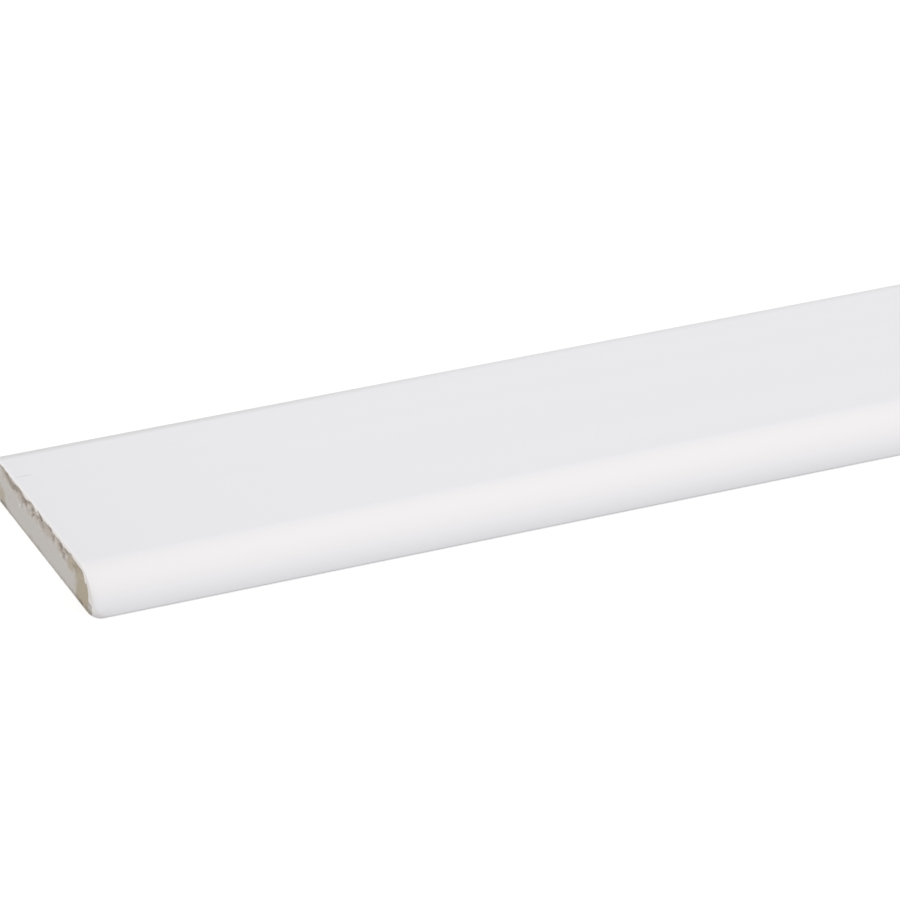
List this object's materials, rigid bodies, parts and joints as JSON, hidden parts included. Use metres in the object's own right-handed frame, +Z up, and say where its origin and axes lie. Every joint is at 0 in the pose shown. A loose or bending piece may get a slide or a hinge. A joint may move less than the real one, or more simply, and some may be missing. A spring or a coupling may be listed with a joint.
{
  "type": "cover strip",
  "caption": "Flat white-coated cover strip of wood-fibre board with rounded long edges and square-sawn ends, fixed flat over a joint or gap.",
  "frame": {"origin": "middle of the strip's length and width, on its flat back", "axes": "+X along the strip's length, towards the end that the picture cuts off; +Y across its width, away from the edge nearest the camera; +Z up through its thickness, out of the face"},
  "size_m": [2.4, 0.04, 0.006],
  "materials": {
    "white_coated_board": "satin"
  },
  "bodies": {
    "root": {"cover_strip": "white_coated_board"}
  },
  "joints": []
}
